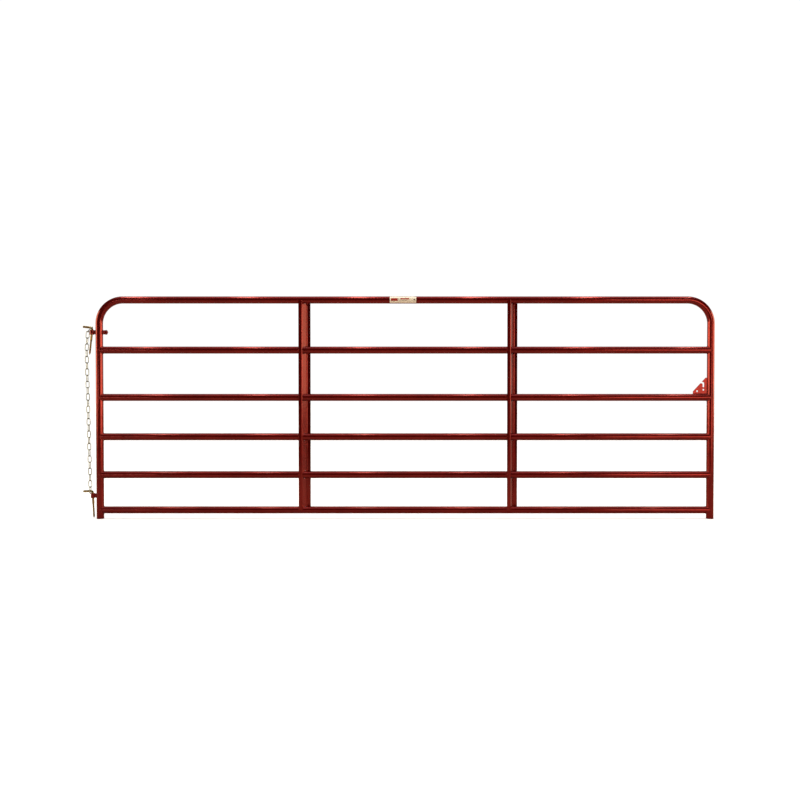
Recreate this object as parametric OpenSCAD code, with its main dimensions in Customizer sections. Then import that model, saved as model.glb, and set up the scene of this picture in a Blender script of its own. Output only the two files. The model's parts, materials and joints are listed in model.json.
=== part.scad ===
// Livestock panel gate: a bent tube frame with five rails and two Z-section braces,
// hung by two eyes on a pair of screw-in hooks, with a loose chain between the hooks.
// Units are millimetres. X runs along the gate (hinge side at -X), Y is its thickness
// (front at -Y), Z is up, and z = 0 is the ground under the feet.

/* [Frame] */
// Length over the two upright tubes
gate_length = 3530; // [1200:10:4900]
// Height from the ground to the top of the frame
gate_height = 1270; // [900:5:1600]
// Outside diameter of the bent frame tube
tube_od = 41.3; // [30:0.1:60]
// Outside diameter of the straight rails
rail_od = 41.0; // [28:0.1:59]
// Wall thickness of all the tubes
tube_wall = 1.6; // [1:0.1:4]
// Radius of the two top corners, on the tube's centreline
corner_radius = 135; // [80:1:300]

/* [Rails] */
// Centre height of the lowest rail
rail_1_height = 50; // [40:1:200]
// Centre height of the second rail
rail_2_height = 252; // [120:1:400]
// Centre height of the third rail
rail_3_height = 469; // [250:1:600]
// Centre height of the fourth rail, which carries the latch plate
rail_4_height = 694; // [400:1:900]
// Centre height of the fifth rail
rail_5_height = 964; // [700:1:1100]

/* [Braces] */
// Distance of the left brace from the gate's middle
brace_left_offset = -574; // [-1500:1:-100]
// Distance of the right brace from the gate's middle
brace_right_offset = 612; // [100:1:1500]
// Overall width of a brace, along the gate
brace_width = 64; // [40:1:120]
// Distance along the gate between the two bends of a brace
brace_web_run = 26; // [10:1:60]
// Thickness of the brace sheet
brace_sheet = 2; // [1:0.1:4]
// Clearance between a brace flange and the frame tube
brace_clearance = 0.35; // [0.1:0.05:2]

/* [Latch plate] */
// Length of the plate along its rail
plate_length = 80; // [50:1:140]
// Height of the plate along the upright
plate_height = 92; // [60:1:160]
// Height of the plate's short outer end
plate_nose = 14; // [5:1:40]
// Width of the plate's top edge
plate_top = 8; // [2:1:30]
// Thickness of the plate
plate_thickness = 5; // [3:0.5:10]
// Width of the slot that grips a chain link
slot_width = 9.5; // [6:0.1:16]
// Distance of the slot's upright part from the stile
slot_inset = 20.3; // [12:0.1:40]
// Height of the slot's lower end above the rail
slot_low = 42; // [20:1:60]
// Height of the slot's elbow above the rail
slot_high = 61; // [40:1:80]
// Diameter of the two drilled holes
plate_hole = 10; // [5:0.5:14]
// Height of the hole under the slot, above the rail
inner_hole_height = 23; // [10:0.5:40]
// Height of the hole near the nose, above the rail
outer_hole_height = 15; // [8:0.5:30]
// Distance of the hole near the nose from the stile
outer_hole_inset = 56; // [40:0.5:80]

/* [Label] */
// Length of the label along the top tube
label_length = 150; // [60:1:300]
// Distance of the label's middle from the gate's middle
label_offset = -12; // [-600:1:600]
// Angle of the tube that the label wraps round
label_wrap = 116; // [40:1:170]
// Thickness of the label
label_thickness = 0.3; // [0.1:0.05:1]

/* [Hinge eyes] */
// Distance from the hinge axis to the outside of the hinge stile
eye_offset = 21.5; // [18:0.1:60]
// Height of the upper eye's middle
upper_eye_height = 1065; // [700:1:1100]
// Height of the lower eye's middle
lower_eye_height = 132.5; // [100:0.5:400]
// Outside diameter of an eye
eye_od = 23; // [20:0.1:50]
// Bore of an eye
eye_bore = 16.4; // [13:0.1:30]
// Length of an eye
eye_length = 27; // [15:0.5:60]
// Diameter of the bolt that carries the upper eye
bolt_diameter = 15.9; // [10:0.1:20]
// Width across the flats of the bolt's nuts
nut_flats = 23.8; // [18:0.1:32]
// Thickness of the full nut
nut_thickness = 14; // [8:0.5:20]
// Thickness of the jam nut
jam_thickness = 9.5; // [5:0.5:14]
// Height of the bar that carries the lower eye
arm_height = 24; // [12:0.5:30]
// Thickness of that bar
arm_thickness = 10; // [5:0.5:16]

/* [Hooks] */
// Diameter of the hooks' rod
rod_diameter = 12.7; // [10:0.1:16]
// Radius of a hook's bend, on the rod's centreline
bend_radius = 12; // [10:0.5:30]
// Height of a hook's short leg above the middle of its eye
hook_rise = 26.3; // [24:0.1:60]
// Reach of the short leg from the long leg's centreline
hook_reach = 52.5; // [30:0.5:100]
// Length of the long leg below the short leg's centreline
hook_length = 155; // [100:1:250]
// Length of the threaded stretch
thread_length = 68; // [30:1:120]
// Length of the point
tip_length = 14; // [6:1:30]
// Tilt of the upper hook in its eye
upper_tilt = 6; // [-6:0.1:6]
// Tilt of the lower hook in its eye
lower_tilt = -2.6; // [-6:0.1:6]

/* [Chain] */
// Diameter of the link wire
wire_diameter = 4; // [3:0.1:6]
// Outside width of a link
link_width = 22; // [16:0.1:30]
// Outside length of a link
link_length = 43.8; // [30:0.1:60]
// Gap left between neighbouring links
link_gap = 0.3; // [0.2:0.05:1]
// Lean of the first link over the upper hook's bend
first_lean = 43; // [30:1:60]
// How far left of the hinge axis the chain is pushed by the upper hook's point
kink_left = 31; // [28:0.5:60]
// How far left of the hinge axis the last link hangs
last_left = 14.6; // [14:0.1:40]

/* [Hidden] */
$fn = 96;
link_count = 27;
kink_link = 4;
play = 0.3;
chamfer = 0.8;
eps = 1;

tube_r = tube_od / 2;
rail_r = rail_od / 2;
top_height = gate_height - tube_r;
bend_height = top_height - corner_radius;

// Hinge axis and stiles: the overall length from the lower hook's end to the latch stile is centred on x = 0.
rod_r = rod_diameter / 2;
end_x = hook_reach * cos(lower_tilt) - (hook_rise + rod_r - chamfer) * sin(lower_tilt);
hinge_x = (end_x - eye_offset - gate_length) / 2;
left_x = hinge_x + eye_offset + tube_r;
right_x = hinge_x + eye_offset + gate_length - tube_r;
middle_x = (left_x + right_x) / 2;

rail_heights = [rail_1_height, rail_2_height, rail_3_height, rail_4_height, rail_5_height];

// Brace section
flange_in = tube_r + brace_clearance;
flange_out = flange_in + brace_sheet;
flange_mid = flange_in + brace_sheet / 2;
web_slope = brace_web_run / 2 / flange_mid;
web_half = brace_sheet / 2 * sqrt(1 + web_slope * web_slope);

// Hinge bolt and nuts, measured from the hinge axis
eye_r = eye_od / 2;
bolt_r = bolt_diameter / 2;
nut_bore = bolt_r + play;
outer_nut_x = eye_r + 3 * play;
outer_nut_thickness = eye_offset - play - outer_nut_x;
inner_nut_x = eye_offset + tube_od + play;
jam_nut_x = inner_nut_x + nut_thickness + play;
bolt_end_x = jam_nut_x + jam_thickness + 4;

// Chain: pivots are [x, z] in the hinge plane, with x from the hinge axis.
wire_r = wire_diameter / 2;
crown_r = link_width / 2 - wire_r;
long_step = link_length - wire_diameter;
short_step = long_step - 2 * (wire_diameter + link_gap);
bend_centre = on_hook(upper_tilt, upper_eye_height, -bend_radius, hook_rise - bend_radius);
lean_up = [sin(first_lean), cos(first_lean)];
pivot_0 = bend_centre + (bend_radius + rod_r + wire_r + play) * [cos(90 - first_lean), sin(90 - first_lean)];
pivot_1 = pivot_0 - long_step * lean_up;
upper_run = 2 * short_step + long_step;
upper_lean = asin((pivot_1[0] + kink_left) / upper_run);
pivot_4 = pivot_1 - upper_run * [sin(upper_lean), cos(upper_lean)];
lower_links = link_count - 1 - kink_link;
lower_run = lower_links / 2 * (short_step + long_step);
lower_lean = asin((pivot_4[0] + last_left) / lower_run);

LINKS = [for (k = [1:link_count]) link_name(k)];

paint = [0.48, 0.07, 0.06];
yellow_zinc = [0.66, 0.53, 0.27];
zinc = [0.68, 0.68, 0.62];
paper = [0.9, 0.87, 0.78];

// A point of a hook, given where it is on the upright hook, as [x, z] once the hook is tilted in its eye
function on_hook(tilt, height, x, z) =
    [x * cos(tilt) + z * sin(tilt), height - x * sin(tilt) + z * cos(tilt)];

function link_name(k) = str("link_", k < 10 ? "0" : "", k);

// Odd links are seen edge-on and reach from pivot to pivot. Even links wrap round the pivots.
function is_edge_on(k) = k % 2 == 1;
function step_of(k) = is_edge_on(k) ? long_step : short_step;
function lean_of(k) =
    k == 1 ? first_lean : k <= kink_link ? upper_lean : k == link_count ? 0 : lower_lean;
function pivot(k) =
    k == 0 ? pivot_0 : pivot(k - 1) - step_of(k) * [sin(lean_of(k)), cos(lean_of(k))];

// A bar along X from x1 to x2 at height z
module bar(r, x1, x2, z) {
    translate([x1, 0, z])
        rotate([0, 90, 0])
            cylinder(r = r, h = x2 - x1);
}

// An upright bar
module post(r, x, z1, z2) {
    translate([x, 0, z1])
        cylinder(r = r, h = z2 - z1);
}

// The frame's path, filled, with radius r
module frame_bar(r, foot) {
    post(r, left_x, foot, bend_height);
    post(r, right_x, foot, bend_height);
    translate([left_x + corner_radius, 0, bend_height])
        rotate([90, 0, 0])
            rotate([0, 0, 90])
                rotate_extrude(angle = 90)
                    translate([corner_radius, 0])
                        circle(r = r);
    translate([right_x - corner_radius, 0, bend_height])
        rotate([90, 0, 0])
            rotate_extrude(angle = 90)
                translate([corner_radius, 0])
                    circle(r = r);
    bar(r, left_x + corner_radius, right_x - corner_radius, top_height);
}

module end_frame() {
    color(paint)
        difference() {
            frame_bar(tube_r, 0);
            frame_bar(tube_r - tube_wall, -eps);
            bar(bolt_r + play, left_x - tube_od, left_x + tube_od, upper_eye_height);
        }
}

// A straight tube between the stiles, coped to fit round both
module rail(height) {
    color(paint)
        difference() {
            bar(rail_r, left_x, right_x, height);
            bar(rail_r - tube_wall, left_x - eps, right_x + eps, height);
            post(tube_r, left_x, height - tube_od, height + tube_od);
            post(tube_r, right_x, height - tube_od, height + tube_od);
        }
}

module rail_1() {
    rail(rail_1_height);
}

module rail_2() {
    rail(rail_2_height);
}

module rail_3() {
    rail(rail_3_height);
}

module rail_4() {
    rail(rail_4_height);
}

module rail_5() {
    rail(rail_5_height);
}

// A Z of folded sheet: front flange to the left, rear flange to the right, bored for the rails
module brace(offset_x) {
    half = brace_width / 2;
    x = middle_x + offset_x;
    color(paint)
        difference() {
            translate([x, 0, rail_1_height])
                linear_extrude(height = top_height - rail_1_height)
                    polygon([
                        [-half, -flange_out],
                        [web_half - web_slope * flange_out, -flange_out],
                        [web_half + web_slope * flange_in, flange_in],
                        [half, flange_in],
                        [half, flange_out],
                        [web_slope * flange_out - web_half, flange_out],
                        [-web_half - web_slope * flange_in, -flange_in],
                        [-half, -flange_in]
                    ]);
            for (z = rail_heights)
                bar(rail_r, x - brace_width, x + brace_width, z);
            bar(tube_r, x - brace_width, x + brace_width, top_height);
        }
}

module brace_left() {
    brace(brace_left_offset);
}

module brace_right() {
    brace(brace_right_offset);
}

// A cutter through the latch plate, at u left of the stile's face and v above the rail
module plate_cut(r, u, v, turn = 0) {
    translate([-u, plate_thickness, v])
        rotate([90, 0, 0])
            rotate([0, 0, turn])
                cylinder(r = r, h = 2 * plate_thickness);
}

// A triangle of plate in the corner of a rail and the latch stile, with an elbow slot for the chain
module latch_plate() {
    face_x = right_x - tube_r;
    seat_z = rail_4_height + rail_r;
    slot_r = slot_width / 2;
    entry_angle = 18;
    entry_length = 30;
    elbow_relief = 0.25;
    color(paint)
        difference() {
            translate([face_x, plate_thickness / 2, seat_z])
                rotate([90, 0, 0])
                    linear_extrude(height = plate_thickness)
                        polygon([
                            [eps, -eps],
                            [-plate_length, -eps],
                            [-plate_length, plate_nose],
                            [-plate_top, plate_height],
                            [eps, plate_height]
                        ]);
            translate([face_x, 0, seat_z]) {
                plate_cut(slot_r, slot_inset, slot_low, 90);
                plate_cut(slot_r + elbow_relief, slot_inset, slot_high, 270);
                translate([-slot_inset - slot_r, -plate_thickness, slot_low])
                    cube([slot_width, 2 * plate_thickness, slot_high - slot_low]);
                translate([-slot_inset, 0, slot_high])
                    rotate([0, entry_angle, 0])
                        translate([-entry_length, -plate_thickness, -slot_r])
                            cube([entry_length, 2 * plate_thickness, slot_width]);
                plate_cut(plate_hole / 2, slot_inset, inner_hole_height);
                plate_cut(plate_hole / 2, outer_hole_inset, outer_hole_height);
            }
            bar(rail_r, left_x, right_x, rail_4_height);
            post(tube_r, right_x, rail_4_height, bend_height);
        }
}

module label() {
    color(paper)
        translate([middle_x + label_offset - label_length / 2, 0, top_height])
            rotate([0, 90, 0])
                rotate([0, 0, -90 - label_wrap / 2])
                    rotate_extrude(angle = label_wrap)
                        translate([tube_r, 0])
                            square([label_thickness, label_length]);
}

// A short sleeve with eased rims
module eye(height) {
    bore_r = eye_bore / 2;
    half = eye_length / 2;
    color(paint)
        translate([hinge_x, 0, height])
            rotate_extrude()
                polygon([
                    [bore_r, -half + chamfer],
                    [bore_r + chamfer, -half],
                    [eye_r - chamfer, -half],
                    [eye_r, -half + chamfer],
                    [eye_r, half - chamfer],
                    [eye_r - chamfer, half],
                    [bore_r + chamfer, half],
                    [bore_r, half - chamfer]
                ]);
}

module upper_eye() {
    eye(upper_eye_height);
}

module lower_eye() {
    eye(lower_eye_height);
}

module hinge_bolt() {
    color(paint)
        difference() {
            union() {
                bar(bolt_r, hinge_x, hinge_x + bolt_end_x - 2 * chamfer, upper_eye_height);
                translate([hinge_x + bolt_end_x - 2 * chamfer, 0, upper_eye_height])
                    rotate([0, 90, 0])
                        cylinder(r1 = bolt_r, r2 = bolt_r - 2 * chamfer, h = 2 * chamfer);
            }
            post(eye_r, hinge_x, upper_eye_height - eye_length, upper_eye_height + eye_length);
        }
}

// A hexagon nut on the hinge bolt, from x outwards, turned about the bolt
module nut(x, thickness, turn) {
    across = nut_flats / cos(30) / 2;
    cut = across - nut_flats / 2 + 0.2;
    rise = cut * tan(30);
    color(paint)
        translate([hinge_x + x, 0, upper_eye_height])
            rotate([0, 90, 0])
                rotate([0, 0, turn])
                    difference() {
                        intersection() {
                            cylinder(r = across, h = thickness, $fn = 6);
                            rotate_extrude()
                                polygon([
                                    [0, 0],
                                    [across - cut, 0],
                                    [across, rise],
                                    [across, thickness - rise],
                                    [across - cut, thickness],
                                    [0, thickness]
                                ]);
                        }
                        translate([0, 0, -eps])
                            cylinder(r = nut_bore, h = thickness + 2 * eps);
                    }
}

module outer_nut() {
    nut(outer_nut_x, outer_nut_thickness, 30);
}

module inner_nut() {
    nut(inner_nut_x, nut_thickness, 30);
}

module jam_nut() {
    nut(jam_nut_x, jam_thickness, 0);
}

module lower_eye_arm() {
    color(paint)
        difference() {
            translate([hinge_x, -arm_thickness / 2, lower_eye_height - arm_height / 2])
                cube([eye_offset + tube_r, arm_thickness, arm_height]);
            post(eye_r, hinge_x, lower_eye_height - eye_length, lower_eye_height + eye_length);
            post(tube_r, left_x, lower_eye_height - eye_length, lower_eye_height + eye_length);
        }
}

// A J of rod: threaded long leg down through the eye, short leg to the left
module hook(height, tilt) {
    low = hook_rise - hook_length;
    thread_low = low + tip_length;
    thread_top = thread_low + thread_length;
    neck_r = rod_r - 0.75;
    neck_length = 3;
    point_r = 1;
    color(yellow_zinc)
        translate([hinge_x, 0, height])
            rotate([0, tilt, 0]) {
                rotate_extrude()
                    polygon([
                        [0, low],
                        [point_r, low],
                        [rod_r, thread_low],
                        [rod_r, thread_top],
                        [neck_r, thread_top],
                        [neck_r, thread_top + neck_length],
                        [rod_r, thread_top + neck_length],
                        [rod_r, hook_rise - bend_radius],
                        [0, hook_rise - bend_radius]
                    ]);
                translate([-bend_radius, 0, hook_rise - bend_radius])
                    rotate([90, 0, 0])
                        rotate_extrude(angle = 90)
                            translate([bend_radius, 0])
                                circle(r = rod_r);
                translate([-bend_radius, 0, hook_rise])
                    rotate([0, -90, 0])
                        rotate_extrude()
                            polygon([
                                [0, 0],
                                [rod_r, 0],
                                [rod_r, hook_reach - bend_radius - chamfer],
                                [rod_r - chamfer, hook_reach - bend_radius],
                                [0, hook_reach - bend_radius]
                            ]);
            }
}

module upper_hook() {
    hook(upper_eye_height, upper_tilt);
}

module lower_hook() {
    hook(lower_eye_height, lower_tilt);
}

// One end of a link: half a ring of wire
module crown() {
    rotate([90, 0, 0])
        rotate_extrude(angle = 180)
            translate([crown_r, 0])
                circle(r = wire_r);
}

module link(k) {
    side = long_step / 2 - crown_r;
    centre = (pivot(k - 1) + pivot(k)) / 2;
    color(zinc)
        translate([hinge_x + centre[0], 0, centre[1]])
            rotate([0, lean_of(k), 0])
                rotate([0, 0, is_edge_on(k) ? 90 : 0]) {
                    translate([0, 0, side])
                        crown();
                    translate([0, 0, -side])
                        rotate([180, 0, 0])
                            crown();
                    for (x = [-crown_r, crown_r])
                        translate([x, 0, -side])
                            cylinder(r = wire_r, h = 2 * side);
                }
}

end_frame();
rail_1();
rail_2();
rail_3();
rail_4();
rail_5();
brace_left();
brace_right();
latch_plate();
label();
upper_eye();
hinge_bolt();
outer_nut();
inner_nut();
jam_nut();
lower_eye();
lower_eye_arm();
upper_hook();
lower_hook();
for (k = [1:link_count])
    link(k);
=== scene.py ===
import json
import math

import bmesh
import bpy
import numpy as np
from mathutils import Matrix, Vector


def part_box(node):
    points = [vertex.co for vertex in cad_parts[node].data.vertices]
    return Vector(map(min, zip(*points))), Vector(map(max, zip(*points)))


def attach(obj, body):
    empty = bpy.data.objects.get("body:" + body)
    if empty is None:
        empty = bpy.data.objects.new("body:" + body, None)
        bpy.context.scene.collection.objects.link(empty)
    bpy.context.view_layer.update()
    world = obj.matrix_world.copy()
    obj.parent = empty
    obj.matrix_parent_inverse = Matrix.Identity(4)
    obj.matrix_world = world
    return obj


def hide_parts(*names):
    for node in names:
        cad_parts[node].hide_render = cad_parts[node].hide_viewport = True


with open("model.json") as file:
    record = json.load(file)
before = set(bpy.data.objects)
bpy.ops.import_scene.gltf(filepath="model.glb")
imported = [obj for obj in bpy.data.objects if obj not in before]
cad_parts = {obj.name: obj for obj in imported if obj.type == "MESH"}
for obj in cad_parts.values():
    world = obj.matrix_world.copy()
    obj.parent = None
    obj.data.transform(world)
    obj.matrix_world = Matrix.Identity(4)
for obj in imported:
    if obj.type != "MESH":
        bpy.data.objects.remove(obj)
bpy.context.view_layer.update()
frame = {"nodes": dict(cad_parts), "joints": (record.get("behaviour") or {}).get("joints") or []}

scene = bpy.context.scene
scene.view_settings.view_transform = "Standard"
scene.view_settings.look = "None"

joints = {j["name"]: j for j in frame["joints"]}
hingeX = joints["gate_swing"]["pos_m"][0]
boltZ = joints["outer_nut_turn"]["pos_m"][2]


def middleOf(name):
    low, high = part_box(name)
    return (low + high) / 2


frameLow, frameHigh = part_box("end_frame")
gateMiddle = (frameLow.x + frameHigh.x) / 2

frameTube = {"outside": 0.0413, "wall": 0.0016, "cornerRadius": 0.135, "footEase": 0.0004, "sides": 72}
railTube = {"outside": 0.0410, "wall": 0.0016, "sides": 72}
tubeR = frameTube["outside"] / 2
railR = railTube["outside"] / 2
leftX = frameLow.x + tubeR
rightX = frameHigh.x - tubeR
topZ = frameHigh.z - tubeR
railNames = ["rail_1", "rail_2", "rail_3", "rail_4", "rail_5"]
railZ = [middleOf(n).z for n in railNames]


def plainShape(name, verts, faces):
    mesh = bpy.data.meshes.new(name)
    mesh.from_pydata([tuple(v) for v in verts], [], [tuple(int(i) for i in f) for f in faces])
    mesh.validate()
    bm = bmesh.new()
    bm.from_mesh(mesh)
    bmesh.ops.recalc_face_normals(bm, faces=bm.faces)
    bm.to_mesh(mesh)
    bm.free()
    shape = bpy.data.objects.new(name, mesh)
    scene.collection.objects.link(shape)
    return shape


def addPiece(name, verts, faces, material, body, replaces=(), sharp=40):
    return dress(plainShape(name, verts, faces), material, body, replaces, sharp)


def dress(piece, material, body, replaces=(), sharp=40):
    piece.data.materials.clear()
    piece.data.materials.append(material)
    piece.data.shade_smooth()
    piece.data.set_sharp_from_angle(angle=math.radians(sharp))
    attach(piece, body)
    if replaces:
        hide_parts(*replaces)
    return piece


def skin(rings, loop=False, caps=True):
    # quads between neighbouring rings of equal length, and a flat cap on each open end
    rings = [np.asarray(r, float) for r in rings]
    n, m = len(rings), len(rings[0])
    faces = []
    for i in range(n if loop else n - 1):
        k = (i + 1) % n
        for j in range(m):
            faces.append((i * m + j, i * m + (j + 1) % m, k * m + (j + 1) % m, k * m + j))
    if caps and not loop:
        faces.append(tuple(range(m)))
        faces.append(tuple(range((n - 1) * m, n * m)))
    return np.concatenate(rings), faces


def joined(parts):
    verts, faces, base = [], [], 0
    for v, f in parts:
        verts.append(np.asarray(v, float))
        faces += [tuple(i + base for i in face) for face in f]
        base += len(v)
    return np.concatenate(verts), faces


def circle(sides, start=0.0):
    a = np.arange(sides) * 2 * math.pi / sides + start
    return np.cos(a), np.sin(a)


def flatSweep(points, radii, sides, closed=False):
    # rings round a path that lies in an upright plane y = constant
    p = np.asarray(points, float)
    n = len(p)
    radii = np.broadcast_to(np.asarray(radii, float), (n,))
    if closed:
        t = np.roll(p, -1, 0) - np.roll(p, 1, 0)
    else:
        t = np.gradient(p, axis=0)
    t /= np.linalg.norm(t, axis=1)[:, None]
    side = np.array([0.0, 1.0, 0.0])
    out = np.cross(side, t)
    c, s = circle(sides)
    return [p[i] + radii[i] * (c[:, None] * out[i] + s[:, None] * side) for i in range(n)]


def freeSweep(points, radii, sides, closed, normals):
    # rings round any path; normals say which way is out of the joint
    p = np.asarray(points, float)
    n = len(p)
    radii = np.broadcast_to(np.asarray(radii, float), (n,))
    t = (np.roll(p, -1, 0) - np.roll(p, 1, 0)) if closed else np.gradient(p, axis=0)
    t /= np.linalg.norm(t, axis=1)[:, None]
    out = np.asarray(normals, float)
    out = out - (out * t).sum(1)[:, None] * t
    out /= np.linalg.norm(out, axis=1)[:, None]
    side = np.cross(t, out)
    c, s = circle(sides)
    return [p[i] + radii[i] * (c[:, None] * out[i] + s[:, None] * side[i]) for i in range(n)]


def leanBy(angle):
    # turns points about the Y axis, from up towards +X
    c, s = math.cos(angle), math.sin(angle)
    return np.array([[c, 0, s], [0, 1, 0], [-s, 0, c]])


def evenly(points, count, closed=True):
    # the same path with evenly spaced points
    p = np.asarray(points, float)
    if closed:
        p = np.vstack([p, p[:1]])
    d = np.r_[0, np.cumsum(np.linalg.norm(np.diff(p, axis=0), axis=1))]
    at = np.linspace(0, d[-1], count, endpoint=not closed)
    return np.stack([np.interp(at, d, p[:, k]) for k in range(3)], 1), d[-1]


weldBead = {
    "radius": 0.0026, "ripple": 0.0026, "rippleDepth": 0.16, "perRipple": 5, "sides": 10, "tuck": 0.978,
    "longWave": 0.021, "longSwing": 0.05, "shortWave": 0.0093, "shortSwing": 0.04,
    "endShrink": 0.12, "endRun": 1.6,
}


def weldAlong(points, normals, radius=None, closed=True, seed=0):
    # a rippled bead, slightly uneven in width, with its ends drawn down where it is open
    r = radius or weldBead["radius"]
    p, length = evenly(points, 4 * len(points), closed)
    count = max(24, int(length / weldBead["ripple"] * weldBead["perRipple"]))
    p, length = evenly(p, count, closed)
    src = np.asarray(points, float)
    nrm = np.asarray(normals, float)
    near = ((p[:, None, :] - src[None]) ** 2).sum(2).argmin(1)
    s = np.linspace(0, length, count, endpoint=not closed)
    dime = np.abs(np.sin(math.pi * s / weldBead["ripple"] + seed))
    wander = (weldBead["longSwing"] * np.sin(2 * math.pi * s / weldBead["longWave"] + 1.7 * seed)
              + weldBead["shortSwing"] * np.sin(2 * math.pi * s / weldBead["shortWave"] + seed))
    radii = r * (1 - weldBead["rippleDepth"] * (1 - dime) + wander)
    if not closed:
        fromEnd = np.minimum(s, length - s)
        radii *= np.sqrt(np.clip(weldBead["endShrink"] + fromEnd / (weldBead["endRun"] * r), 0, 1))
    return skin(freeSweep(p, radii, weldBead["sides"], closed, nrm[near]), loop=closed)


def saddle(postX, postR, barR, atZ, side, count=72):
    # where a level round bar meets an upright post: side is +1 if the bar leaves the post towards +X
    c, s = circle(count)
    y, z = barR * c, barR * s
    x = postX + side * np.sqrt(np.maximum(postR ** 2 - y ** 2, 1e-9))
    points = np.stack([x, y * weldBead["tuck"], atZ + z], 1)     # the bead sits a little into the corner
    alongPost = np.stack([(x - postX), y, 0 * y], 1) / postR
    alongBar = np.stack([0 * y, c, s], 1)
    return points, alongPost + alongBar


def newMaterial(name):
    material = bpy.data.materials.new(name)
    material.use_nodes = True
    nodes = material.node_tree.nodes
    nodes.clear()
    out = nodes.new("ShaderNodeOutputMaterial")
    shader = nodes.new("ShaderNodeBsdfPrincipled")
    material.node_tree.links.new(shader.outputs["BSDF"], out.inputs["Surface"])
    return material, shader


def node(material, kind, **values):
    made = material.node_tree.nodes.new(kind)
    for key, value in values.items():
        if key in made.inputs:
            made.inputs[key].default_value = value
        else:
            setattr(made, key, value)
    return made


def link(material, a, b):
    material.node_tree.links.new(a, b)


def objectPlace(material):
    return node(material, "ShaderNodeTexCoord").outputs["Object"]


def noiseOf(material, place, scale, detail=3.0, rough=0.5, distort=0.0):
    n = node(material, "ShaderNodeTexNoise", Scale=scale, Detail=detail, Roughness=rough,
             Distortion=distort)
    link(material, place, n.inputs["Vector"])
    return n.outputs["Fac"]


def ramp(material, value, stops):
    r = node(material, "ShaderNodeValToRGB")
    elements = r.color_ramp.elements
    while len(elements) < len(stops):
        elements.new(0.5)
    for e, (at, colour) in zip(elements, stops):
        e.position = at
        e.color = (*colour, 1) if len(colour) == 3 else colour
    link(material, value, r.inputs["Fac"])
    return r.outputs["Color"]


def mixed(material, share, a, b):
    m = node(material, "ShaderNodeMix", data_type="RGBA")
    for socket, value in ((m.inputs[0], share), (m.inputs[6], a), (m.inputs[7], b)):
        if isinstance(value, bpy.types.NodeSocket):
            link(material, value, socket)
        else:
            socket.default_value = value if isinstance(value, float) else (*value, 1)
    return m.outputs[2]


def scaled(material, value, low, high, toLow, toHigh):
    m = node(material, "ShaderNodeMapRange")
    link(material, value, m.inputs["Value"])
    for key, v in (("From Min", low), ("From Max", high), ("To Min", toLow), ("To Max", toHigh)):
        m.inputs[key].default_value = v
    return m.outputs["Result"]


def bumped(material, shader, heights):
    # heights is a list of (height socket, strength, distance)
    last = None
    for height, strength, distance in heights:
        b = node(material, "ShaderNodeBump", Strength=strength, Distance=distance)
        link(material, height, b.inputs["Height"])
        if last:
            link(material, last, b.inputs["Normal"])
        last = b.outputs["Normal"]
    link(material, last, shader.inputs["Normal"])


redEnamel = {
    "deep": (0.135, 0.0032, 0.0025), "body": (0.180, 0.0046, 0.0034), "bright": (0.225, 0.0085, 0.0062),
    "dust": (0.24, 0.120, 0.070), "roughLow": 0.11, "roughHigh": 0.23, "shine": 0.20, "flake": 0.60,
    "lacquer": 0.24, "lacquerRough": 0.10, "driftScale": 5.0, "mottleScale": 60.0, "speckScale": 900.0,
    "smearScale": 26.0, "peelScale": 520.0, "sagScale": 70.0, "nibScale": 260.0,
}


def makeRedPaint():
    v = redEnamel
    material, shader = newMaterial("redEnamel")
    place = objectPlace(material)
    drift = noiseOf(material, place, v["driftScale"], 3.0, 0.55)
    mottle = noiseOf(material, place, v["mottleScale"], 3.0, 0.6)
    paint = ramp(material, drift, [(0.28, v["deep"]), (0.5, v["body"]), (0.74, v["bright"])])
    paint = mixed(material, scaled(material, mottle, 0.35, 0.75, 0.0, 0.35), paint, v["bright"])
    specks = noiseOf(material, place, v["speckScale"], 2.0, 0.7)
    paint = mixed(material, scaled(material, specks, 0.68, 0.80, 0.0, 0.4), paint, v["dust"])
    link(material, paint, shader.inputs["Base Color"])
    smear = noiseOf(material, place, v["smearScale"], 5.0, 0.65, 0.6)
    rough = scaled(material, smear, 0.3, 0.72, v["roughLow"], v["roughHigh"])
    link(material, rough, shader.inputs["Roughness"])
    shader.inputs["Metallic"].default_value = v["flake"]
    shader.inputs["Specular IOR Level"].default_value = v["shine"]
    shader.inputs["Coat Weight"].default_value = v["lacquer"]
    shader.inputs["Coat Roughness"].default_value = v["lacquerRough"]
    peel = noiseOf(material, place, v["peelScale"], 2.0, 0.5)
    sag = noiseOf(material, place, v["sagScale"], 2.0, 0.5)
    nibs = node(material, "ShaderNodeTexVoronoi", Scale=v["nibScale"], feature="F1")
    link(material, place, nibs.inputs["Vector"])
    nib = scaled(material, nibs.outputs["Distance"], 0.0, 0.09, 1.0, 0.0)
    bumped(material, shader, [(sag, 0.10, 0.0012), (peel, 0.10, 0.0004), (nib, 0.12, 0.0003)])
    return material


yellowPlate = {
    "gold": (0.27, 0.165, 0.042), "olive": (0.13, 0.125, 0.036), "rose": (0.27, 0.125, 0.065),
    "pale": (0.42, 0.33, 0.15), "stainAndPaintedReflection": (0.025, 0.018, 0.010), "roughLow": 0.11, "roughHigh": 0.28,
    "filmScale": 55.0, "spotScale": 420.0, "rubScale": 130.0, "grainScale": 1500.0, "drawScale": 160.0,
}


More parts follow.
